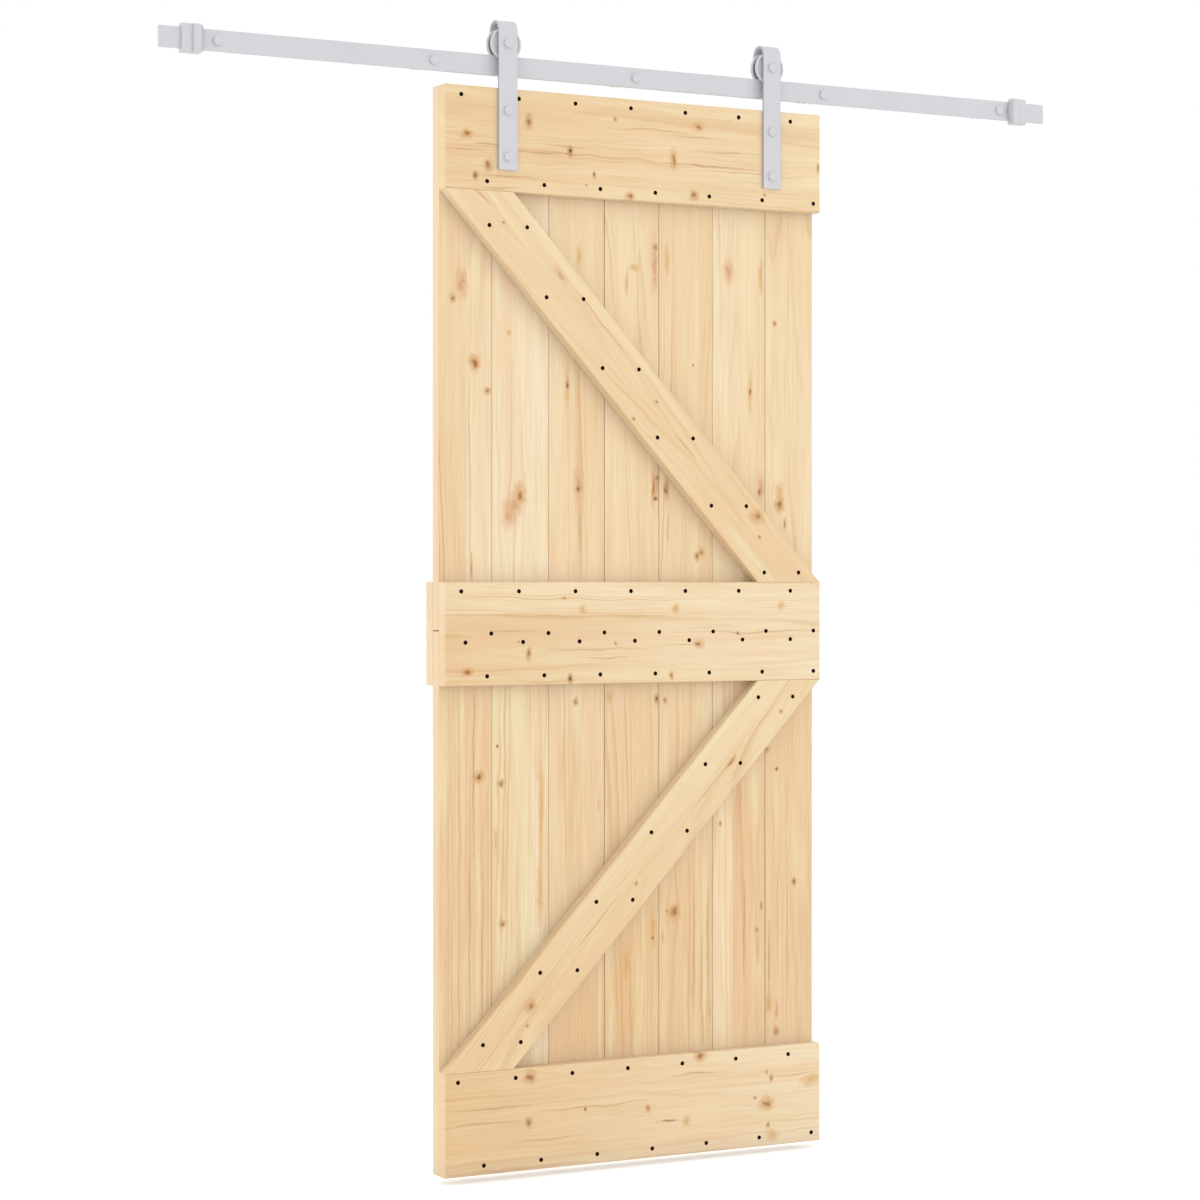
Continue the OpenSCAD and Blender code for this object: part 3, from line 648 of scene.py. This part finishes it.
    # Painted shade, brown, on a board's bevels so that its joints look opened: at 45 degrees, the normal's X
    # and Y multiply to a half
    if node in JOINT_SHADES:
        bevel = add(
            tree, "ShaderNodeMath", {0: sideways, 1: facing["Y"]}, operation="MULTIPLY",
        ).outputs[0]
        bevel = add(tree, "ShaderNodeMath", {0: bevel}, operation="ABSOLUTE").outputs[0]
        half, slack = 0.5, 0.05
        bevel = add(tree, "ShaderNodeMath", {0: bevel, 1: half, 2: slack}, operation="COMPARE").outputs[0]
        bevel = add(
            tree, "ShaderNodeMath", {0: bevel, 1: JOINT_SHADES[node]}, operation="MULTIPLY",
        ).outputs[0]
        layers.append((bevel, settings.seam))

    wood = tone
    for cover, tint in layers:
        wood = add(tree, "ShaderNodeMix", {0: cover, 6: wood, 7: tint}, data_type="RGBA").outputs[2]

    # Sanded surface: the hard late wood and the fibres stand a little proud
    relief = add(tree, "ShaderNodeMath", {0: late, 1: noises["fibre"]["X"]}, operation="ADD").outputs[0]
    normal = add(
        tree, "ShaderNodeBump", {"Height": relief, "Strength": 0.25, "Distance": 0.15 * MM},
    ).outputs[0]
    sheen = add(
        tree, "ShaderNodeMapRange", {"Value": late, "To Min": 0.62, "To Max": 0.5},
    ).outputs[0]
    shader = add(
        tree, "ShaderNodeBsdfPrincipled",
        {"Base Color": wood, "Roughness": sheen, "Normal": normal, "IOR": 1.45, "Specular IOR Level": 0.35},
    )
    add(tree, "ShaderNodeOutputMaterial", {"Surface": shader.outputs[0]})
    return material


def coated_steel(settings, name="powder_coated_steel", darkened_mask=None):
    """Powder-coated mild steel: an even light grey with a fine pebbled skin and a satin gloss."""
    material, tree = new_material(name)
    coordinates = add(tree, "ShaderNodeTexCoord")
    place = coordinates.outputs["Object"]
    pebble = add(
        tree, "ShaderNodeTexNoise", {"Vector": place, "Scale": 1 / settings.coat_peel, "Detail": 2.0},
    ).outputs[0]
    # Slow drift of the coat's tone and gloss, every 70 mm
    drifts_per_metre = 14.0
    drift = add(
        tree, "ShaderNodeTexNoise", {"Vector": place, "Scale": drifts_per_metre, "Detail": 3.0},
    ).outputs[0]
    coat = add(
        tree, "ShaderNodeMix", {0: drift, 6: settings.coat, 7: shaded(settings.coat, 0.93)}, data_type="RGBA",
    ).outputs[2]
    # The darker grey where a mask asks for it: painted shade on the straps' sides, and the wheels' grooves
    if darkened_mask:
        mask = darkened_mask(tree, coordinates)
        coat = add(
            tree, "ShaderNodeMix", {0: mask, 6: coat, 7: settings.darkened}, data_type="RGBA",
        ).outputs[2]
    gloss = add(tree, "ShaderNodeMapRange", {"Value": drift, "To Min": 0.42, "To Max": 0.55}).outputs[0]
    normal = add(
        tree, "ShaderNodeBump", {"Height": pebble, "Strength": 0.3, "Distance": 0.06 * MM},
    ).outputs[0]
    shader = add(
        tree, "ShaderNodeBsdfPrincipled",
        {"Base Color": coat, "Roughness": gloss, "Normal": normal, "IOR": 1.5},
    )
    add(tree, "ShaderNodeOutputMaterial", {"Surface": shader.outputs[0]})
    return material


def side_shaded_strap(settings):
    """Powder-coated flat bar with painted shade: its side faces are drawn darker than its rolled faces."""

    def side_shade_mask(tree, coordinates):
        # Painted shade on the strap's faces turned to the sides
        across = add(tree, "ShaderNodeSeparateXYZ", {0: coordinates.outputs["Normal"]}).outputs["X"]
        across = add(tree, "ShaderNodeMath", {0: across}, operation="ABSOLUTE").outputs[0]
        return add(
            tree, "ShaderNodeMapRange",
            {"Value": across, "From Min": 0.7, "From Max": 0.9, "To Max": 0.6},
        ).outputs[0]

    return coated_steel(settings, "side_shaded_coated_steel", side_shade_mask)


def grooved_wheel(settings):
    """Powder-coated turned steel, with its running groove drawn darker between the flanges."""
    low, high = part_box("wheel_left")
    middle = (low.y + high.y) / 2
    half_groove = settings.groove / 2

    def groove(tree, coordinates):
        depth = add(tree, "ShaderNodeSeparateXYZ", {0: coordinates.outputs["Object"]}).outputs["Y"]
        return add(
            tree, "ShaderNodeMath", {0: depth, 1: middle, 2: half_groove}, operation="COMPARE",
        ).outputs[0]

    return coated_steel(settings, "grooved_coated_steel", groove)


def zinc_plate(settings):
    """Zinc-plated steel: a cool bright metal with faint crystals."""
    material, tree = new_material("zinc_plated_steel")
    place = add(tree, "ShaderNodeTexCoord").outputs["Object"]
    spangle = add(
        tree, "ShaderNodeTexVoronoi", {"Vector": place, "Scale": 1 / settings.zinc_spangle},
    ).outputs["Color"]
    tint = add(tree, "ShaderNodeSeparateXYZ", {0: spangle}).outputs["X"]
    plate = add(
        tree, "ShaderNodeMix", {0: tint, 6: settings.zinc, 7: shaded(settings.zinc, 0.82)}, data_type="RGBA",
    ).outputs[2]
    gloss = add(tree, "ShaderNodeMapRange", {"Value": tint, "To Min": 0.32, "To Max": 0.48}).outputs[0]
    shader = add(
        tree, "ShaderNodeBsdfPrincipled", {"Base Color": plate, "Roughness": gloss, "Metallic": 1.0},
    )
    add(tree, "ShaderNodeOutputMaterial", {"Surface": shader.outputs[0]})
    return material


def dull_skin(name, tint, factor, grain_per_metre, detail, depth, roughness, specular):
    """A dull skin whose tone and height follow one fine grain."""
    material, tree = new_material(name)
    place = add(tree, "ShaderNodeTexCoord").outputs["Object"]
    grain = add(
        tree, "ShaderNodeTexNoise", {"Vector": place, "Scale": grain_per_metre, "Detail": detail},
    ).outputs[0]
    skin = add(
        tree, "ShaderNodeMix", {0: grain, 6: tint, 7: shaded(tint, factor)}, data_type="RGBA",
    ).outputs[2]
    normal = add(
        tree, "ShaderNodeBump", {"Height": grain, "Strength": 0.3, "Distance": depth},
    ).outputs[0]
    shader = add(
        tree, "ShaderNodeBsdfPrincipled",
        {"Base Color": skin, "Roughness": roughness, "Normal": normal, "Specular IOR Level": specular},
    )
    add(tree, "ShaderNodeOutputMaterial", {"Surface": shader.outputs[0]})
    return material


def black_phosphate(settings):
    """Black phosphated steel: nearly black, brownish and dull, with crystals drawn coarse, at 1.1 mm."""
    return dull_skin(
        "black_phosphate", settings.black, factor=2.2, grain_per_metre=900.0, detail=2.0,
        depth=0.05 * MM, roughness=0.75, specular=0.06,
    )


def grey_rubber(settings):
    """Moulded light grey rubber: soft and matte, with the mould's grain drawn coarse, at 1.7 mm."""
    return dull_skin(
        "grey_rubber", settings.rubber, factor=0.85, grain_per_metre=600.0, detail=3.0,
        depth=0.1 * MM, roughness=0.8, specular=0.5,
    )


def shared(name, make, settings):
    """A finish that several steps share, made the first time that it is asked for."""
    return bpy.data.materials.get(name) or make(settings)


def dress(nodes, material):
    """Gives CAD nodes their material."""
    for node in nodes:
        piece = NODES[node]
        if piece.material_slots:
            piece.material_slots[0].material = material
        else:
            piece.data.materials.append(material)


def new_piece(name, bm, material, body):
    """Turns a bmesh into a piece that moves with a body."""
    mesh = bpy.data.meshes.new(name)
    bmesh.ops.recalc_face_normals(bm, faces=bm.faces)
    bm.to_mesh(mesh)
    bm.free()
    mesh.materials.append(material)
    piece = bpy.data.objects.new(name, mesh)
    bpy.context.scene.collection.objects.link(piece)
    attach(piece, body)
    return piece


def solids(node):
    """Low and high corners of each separate solid of a CAD node."""
    copy = bmesh.new()
    copy.from_mesh(NODES[node].data)
    bmesh.ops.remove_doubles(copy, verts=copy.verts, dist=1e-6)
    boxes = []
    seen = set()
    for start in copy.verts:
        if start in seen:
            continue
        seen.add(start)
        group = [start]
        for vert in group:
            for edge in vert.link_edges:
                other = edge.other_vert(vert)
                if other not in seen:
                    seen.add(other)
                    group.append(other)
        points = [v.co for v in group]
        low = Vector(min(p[i] for p in points) for i in range(3))
        high = Vector(max(p[i] for p in points) for i in range(3))
        boxes.append((low, high))
    copy.free()
    return boxes


def ring_edges(verts):
    """The edges that join a set of vertices."""
    chosen = set(verts)
    return list(dict.fromkeys(e for v in verts for e in v.link_edges if e.other_vert(v) in chosen))


def extrude_ring(bm, verts, move, scale):
    """Extrudes a ring of vertices, moves it along Z and scales it about the axis."""
    made = bmesh.ops.extrude_edge_only(bm, edges=ring_edges(verts))["geom"]
    ring = [item for item in made if isinstance(item, bmesh.types.BMVert)]
    bmesh.ops.translate(bm, verts=ring, vec=(0, 0, move))
    bmesh.ops.scale(bm, verts=ring, vec=(scale, scale, 1))
    return ring


def wood_screw(bm, size, settings):
    """A countersunk wood screw with a star drive, from its head at Z zero down to its point."""
    segments = 24
    head_r = size.x / 2
    shank_r = head_r * SHANK_SHARE
    head = bmesh.ops.create_circle(bm, segments=segments, radius=head_r)["verts"]
    star = bmesh.ops.create_circle(bm, segments=segments // 2, radius=settings.drive_r)["verts"]
    bmesh.ops.scale(bm, verts=star[::2], vec=(settings.drive_waist, settings.drive_waist, 1))
    bmesh.ops.bridge_loops(bm, edges=ring_edges(head) + ring_edges(star))
    socket = extrude_ring(bm, star, -settings.drive_depth, DRIVE_FOOT_SHARE)
    bmesh.ops.contextual_create(bm, geom=ring_edges(socket))
    neck = extrude_ring(bm, head, shank_r - head_r, shank_r / head_r)
    shank = extrude_ring(bm, neck, head_r - shank_r - size.y + SCREW_POINT, 1)
    tip = extrude_ring(bm, shank, -SCREW_POINT, TIP_SHARE)
    bmesh.ops.contextual_create(bm, geom=ring_edges(tip))


def thread(bm, run, core_r, settings):
    """A helical wood thread along Z, whose flanks are sunk a little into the screw's core."""
    steps_per_turn = 20
    flank_share = 0.28
    sunk = 0.2 * MM
    pitch = settings.thread_pitch
    height = settings.thread_height
    turns = run / pitch - 1  # the profile itself takes up to one pitch
    half = pitch * flank_share
    profile = [
        bm.verts.new((core_r - sunk, 0, 0)),
        bm.verts.new((core_r + height, 0, half)),
        bm.verts.new((core_r - sunk, 0, 2 * half)),
    ]
    edges = [bm.edges.new((profile[i], profile[(i + 1) % 3])) for i in range(3)]
    steps = int(turns * steps_per_turn)
    bmesh.ops.contextual_create(bm, geom=edges)
    made = bmesh.ops.spin(
        bm, geom=edges, cent=(0, 0, 0), axis=(0, 0, 1), dvec=(0, 0, pitch / steps_per_turn),
        angle=math.tau * steps / steps_per_turn, steps=steps, use_merge=False, use_duplicate=False,
    )["geom_last"]
    bmesh.ops.contextual_create(bm, geom=[item for item in made if isinstance(item, bmesh.types.BMEdge)])


def stand(source, bm, place, turn):
    """Copies a shape into a bmesh at a place, with its Z axis turned about X."""
    spot = Matrix.Translation(place) @ Matrix.Rotation(turn, 4, "X")
    mesh = bpy.data.meshes.new("shape")
    source.to_mesh(mesh)
    mesh.transform(spot)
    bm.from_mesh(mesh)
    bpy.data.meshes.remove(mesh)


class PLANKDOOR_OT_boards(bpy.types.Operator):
    """Gives every tongued and grooved board its own sanded pine"""

    bl_idname = "plank_door.boards"
    bl_label = "Boards"

    def execute(self, context):
        settings = context.scene.plank_door_pine
        upright = -math.pi / 2
        for half in ("upper", "lower"):
            for i in range(1, BOARD_COUNT + 1):
                node = f"{half}_board_{i}"
                seed = i + (0 if half == "upper" else BOARD_COUNT)
                lively = 1.0 if half == "upper" else LOWER_FIGURE
                dress([node], pine(node, Grain(node, upright, BOARD_WAVES), settings, seed, lively))
        return {"FINISHED"}


class PLANKDOOR_OT_rails(bpy.types.Operator):
    """Gives the rails sanded pine with a level grain"""

    bl_idname = "plank_door.rails"
    bl_label = "Rails"

    def execute(self, context):
        settings = context.scene.plank_door_pine
        for i, node in enumerate(("top_rail", "middle_rail", "bottom_rail", "back_rail")):
            dress([node], pine(node, Grain(node, 0.0, RAIL_WAVES), settings, RAIL_SEED + i))
        return {"FINISHED"}


class PLANKDOOR_OT_braces(bpy.types.Operator):
    """Gives the two braces sanded pine with the grain along each brace"""

    bl_idname = "plank_door.braces"
    bl_label = "Braces"

    def execute(self, context):
        settings = context.scene.plank_door_pine
        for i, (node, down) in enumerate((("upper_brace", 1), ("lower_brace", -1))):
            low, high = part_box(node)
            slope = math.atan2(high.z - low.z, high.x - low.x - BRACE_CUT)
            grain = Grain(node, down * slope, BRACE_WAVES)
            dress([node], pine(node, grain, settings, BRACE_SEED + i))
        return {"FINISHED"}


class PLANKDOOR_OT_wood_screws(bpy.types.Operator):
    """Makes the black screws with their star drives"""

    bl_idname = "plank_door.wood_screws"
    bl_label = "Wood screws"

    def execute(self, context):
        settings = context.scene.plank_door_metal
        black = shared("black_phosphate", black_phosphate, settings)
        for node in sorted(n for n in NODES if n.endswith(("_rail_screws", "_brace_screws"))):
            from_back = node.startswith("back")
            group = bmesh.new()
            draw = random.Random(node)
            for low, high in solids(node):
                shape = bmesh.new()
                wood_screw(shape, high - low, settings)
                spin = Matrix.Rotation(draw.uniform(0, math.tau), 3, "Z")
                bmesh.ops.rotate(shape, verts=shape.verts, cent=(0, 0, 0), matrix=spin)
                middle = (low + high) / 2
                middle.y = high.y if from_back else low.y
                stand(shape, group, middle, -math.pi / 2 if from_back else math.pi / 2)
                shape.free()
            piece = new_piece("drive_" + node, group, black, "door")
            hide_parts(node)
        return {"FINISHED"}


class PLANKDOOR_OT_track(bpy.types.Operator):
    """Coats the track bar, its spacers and lag screws, and makes the lag screws' threads"""

    bl_idname = "plank_door.track"
    bl_label = "Track"

    def execute(self, context):
        settings = context.scene.plank_door_metal
        coat = shared("powder_coated_steel", coated_steel, settings)
        dress(["track_bar", "lag_screws"], coat)
        dress([n for n in NODES if n.startswith("spacer_")], coat)
        group = bmesh.new()
        wall_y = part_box("spacer_1")[1].y
        for low, high in solids("lag_screws"):
            shape = bmesh.new()
            thread(shape, (high.y - wall_y) * LAG_THREADED, LAG_CORE_R, settings)
            middle = (low + high) / 2
            middle.y = wall_y
            stand(shape, group, middle, -math.pi / 2)
            shape.free()
        new_piece("lag_threads", group, coat, "track")
        return {"FINISHED"}


class PLANKDOOR_OT_stops(bpy.types.Operator):
    """Coats the end stops' clamps and finishes their rubber pads and grub screws"""

    bl_idname = "plank_door.stops"
    bl_label = "End stops"

    def execute(self, context):
        settings = context.scene.plank_door_metal
        coat = shared("powder_coated_steel", coated_steel, settings)
        dress([f"stop_clamp_{s}" for s in SIDES], coat)
        dress([f"stop_pad_{s}" for s in SIDES], shared("grey_rubber", grey_rubber, settings))
        dress(["stop_screws"], shared("zinc_plated_steel", zinc_plate, settings))
        return {"FINISHED"}


class PLANKDOOR_OT_hangers(bpy.types.Operator):
    """Coats the hanger straps and bolts, and plates the washers, nuts and sleeves"""

    bl_idname = "plank_door.hangers"
    bl_label = "Hangers"

    def execute(self, context):
        settings = context.scene.plank_door_metal
        coat = shared("powder_coated_steel", coated_steel, settings)
        strap = side_shaded_strap(settings)
        zinc = shared("zinc_plated_steel", zinc_plate, settings)
        for s in SIDES:
            dress([f"hanger_strap_{s}"], strap)
            dress([f"strap_bolts_{s}", f"axle_bolt_{s}"], coat)
            dress([f"strap_washers_{s}", f"strap_nuts_{s}"], zinc)
            dress([f"axle_nut_{s}", f"axle_sleeve_{s}"], zinc)
        return {"FINISHED"}


class PLANKDOOR_OT_wheels(bpy.types.Operator):
    """Coats the wheels and plates their bearings"""

    bl_idname = "plank_door.wheels"
    bl_label = "Wheels"

    def execute(self, context):
        settings = context.scene.plank_door_metal
        dress([f"wheel_{s}" for s in SIDES], grooved_wheel(settings))
        zinc = shared("zinc_plated_steel", zinc_plate, settings)
        dress([f"wheel_bearing_{s}" for s in SIDES], zinc)
        return {"FINISHED"}


class PLANKDOOR_OT_stage(bpy.types.Operator):
    """Sets up the camera, the soft light, the white surroundings and the floor"""

    bl_idname = "plank_door.stage"
    bl_label = "Stage"

    def execute(self, context):
        settings = context.scene.plank_door_stage
        context.scene.view_settings.view_transform = "Standard"
        self.camera(context, settings)
        self.surroundings(context, settings)
        self.floor(context, settings)
        self.lamp(
            context, "key", settings.key_level, settings.key_softness, settings.key_rise, settings.key_turn,
        )
        self.lamp(context, "fill", settings.fill_level, settings.fill_softness, 0.0, -settings.fill_turn)
        return {"FINISHED"}

    def camera(self, context, settings):
        """A level camera; the horizon's height in the frame comes from its shift."""
        data = bpy.data.cameras.new("camera")
        data.sensor_width = 36.0
        data.lens = data.sensor_width * settings.focal_pixels / settings.frame_pixels
        data.shift_y = -settings.horizon_rise / settings.frame_pixels
        data.clip_end = 100.0
        camera = bpy.data.objects.new("camera", data)
        camera.location = settings.camera_place
        camera.rotation_euler = (math.pi / 2, 0, -settings.camera_turn)
        context.scene.collection.objects.link(camera)
        context.scene.camera = camera

    def lamp(self, context, name, level, softness, rise, turn):
        """A sun lamp from an angle above level and to the right of the door's front."""
        data = bpy.data.lights.new(name, "SUN")
        data.energy = level
        data.angle = softness
        lamp = bpy.data.objects.new(name, data)
        level_part = math.cos(rise)
        to_lamp = Vector((math.sin(turn) * level_part, -math.cos(turn) * level_part, math.sin(rise)))
        lamp.rotation_euler = to_lamp.to_track_quat("Z", "Y").to_euler()
        distance = 5.0
        lamp.location = to_lamp * distance
        context.scene.collection.objects.link(lamp)

    def surroundings(self, context, settings):
        """An even sky that the camera and reflections see as white."""
        world = bpy.data.worlds.new("white_surroundings")
        world.use_nodes = True
        tree = world.node_tree
        tree.nodes.clear()
        seen = self.seen_directly(tree)
        sky = add(tree, "ShaderNodeBackground", {"Color": (1, 1, 1, 1), "Strength": settings.sky_level})
        white = add(tree, "ShaderNodeBackground", {"Color": (1, 1, 1, 1), "Strength": 1.0})
        both = add(tree, "ShaderNodeMixShader", {0: seen, 1: sky.outputs[0], 2: white.outputs[0]})
        add(tree, "ShaderNodeOutputWorld", {"Surface": both.outputs[0]})
        context.scene.world = world

    def seen_directly(self, tree):
        """One for camera, glossy and transmission rays, and zero for the rest."""
        path = add(tree, "ShaderNodeLightPath")
        seen = path.outputs["Is Camera Ray"]
        for ray in ("Is Glossy Ray", "Is Transmission Ray"):
            seen = add(
                tree, "ShaderNodeMath", {0: seen, 1: path.outputs[ray]}, operation="MAXIMUM",
            ).outputs[0]
        return seen

    def floor(self, context, settings):
        """A pale floor just below the door that shows white and keeps a faint shadow."""
        bm = bmesh.new()
        bmesh.ops.create_grid(bm, x_segments=1, y_segments=1, size=settings.floor_size / 2)
        bmesh.ops.translate(bm, verts=bm.verts, vec=(0, 0, DOOR_CORNER.z - settings.floor_gap))
        mesh = bpy.data.meshes.new("floor")
        bm.to_mesh(mesh)
        bm.free()
        material, tree = new_material("pale_floor")
        matt = add(tree, "ShaderNodeBsdfDiffuse", {"Color": settings.floor})
        seen = self.seen_directly(tree)
        lift = add(
            tree, "ShaderNodeMath", {0: seen, 1: settings.floor_lift}, operation="MULTIPLY",
        ).outputs[0]
        glow = add(tree, "ShaderNodeEmission", {"Color": (1, 1, 1, 1), "Strength": lift})
        both = add(tree, "ShaderNodeAddShader", {0: matt.outputs[0], 1: glow.outputs[0]})
        add(tree, "ShaderNodeOutputMaterial", {"Surface": both.outputs[0]})
        mesh.materials.append(material)
        floor = bpy.data.objects.new("floor", mesh)
        context.scene.collection.objects.link(floor)


class PLANKDOOR_PT_panel(bpy.types.Panel):
    """Lists the steps that dress the door"""

    bl_idname = "PLANKDOOR_PT_panel"
    bl_label = "Plank door"
    bl_space_type = "VIEW_3D"
    bl_region_type = "UI"
    bl_category = "Plank door"

    def draw(self, context):
        for step in STEPS:
            self.layout.operator(step.bl_idname)
        for settings in GROUPS:
            box = self.layout.box()
            for field in GROUPS[settings].__annotations__:
                box.prop(getattr(context.scene, settings), field)


STEPS = (
    PLANKDOOR_OT_boards,
    PLANKDOOR_OT_rails,
    PLANKDOOR_OT_braces,
    PLANKDOOR_OT_wood_screws,
    PLANKDOOR_OT_track,
    PLANKDOOR_OT_stops,
    PLANKDOOR_OT_hangers,
    PLANKDOOR_OT_wheels,
    PLANKDOOR_OT_stage,
)
GROUPS = {
    "plank_door_pine": PlankDoorPine,
    "plank_door_metal": PlankDoorMetal,
    "plank_door_stage": PlankDoorStage,
}


def register():
    """Registers the settings, the steps and the panel."""
    for name, group in GROUPS.items():
        bpy.utils.register_class(group)
        setattr(bpy.types.Scene, name, bpy.props.PointerProperty(type=group))
    for step in STEPS:
        bpy.utils.register_class(step)
    bpy.utils.register_class(PLANKDOOR_PT_panel)


def unregister():
    """Removes what register() added."""
    bpy.utils.unregister_class(PLANKDOOR_PT_panel)
    for step in reversed(STEPS):
        bpy.utils.unregister_class(step)
    for name, group in GROUPS.items():
        delattr(bpy.types.Scene, name)
        bpy.utils.unregister_class(group)


def main():
    """Runs every step in order."""
    register()
    for step in STEPS:
        area, name = step.bl_idname.split(".")
        getattr(getattr(bpy.ops, area), name)()


if __name__ == "__main__":
    main()
